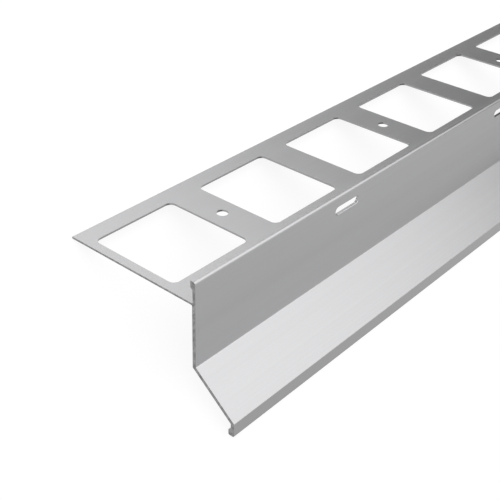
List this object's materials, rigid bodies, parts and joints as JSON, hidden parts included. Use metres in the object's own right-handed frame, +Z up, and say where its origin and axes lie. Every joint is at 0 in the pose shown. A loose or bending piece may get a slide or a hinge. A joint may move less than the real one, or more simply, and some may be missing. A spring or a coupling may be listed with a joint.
{
  "type": "balcony edge profile",
  "caption": "Extruded aluminium balcony edge profile: punched bedding leg for tile adhesive, slotted upstand, upright face and sloping drip that ends in a beaded lip.",
  "frame": {"origin": "centre of the bounding box on the floor that the profile rests on", "axes": "+X along the profile from the cut end seen in the picture to the far one, +Y from the face towards the back edge of the leg, +Z up; the leg slopes down towards +Y by 31.1 degrees, as the profile lies on the back edge of its leg and the foot of its lip"},
  "size_m": [2, 0.1048, 0.0449],
  "materials": {
    "anodised_aluminium": "fine satin, natural anodised, with faint lines along the extrusion"
  },
  "bodies": {
    "root": {"edge_profile": "anodised_aluminium"}
  },
  "joints": []
}
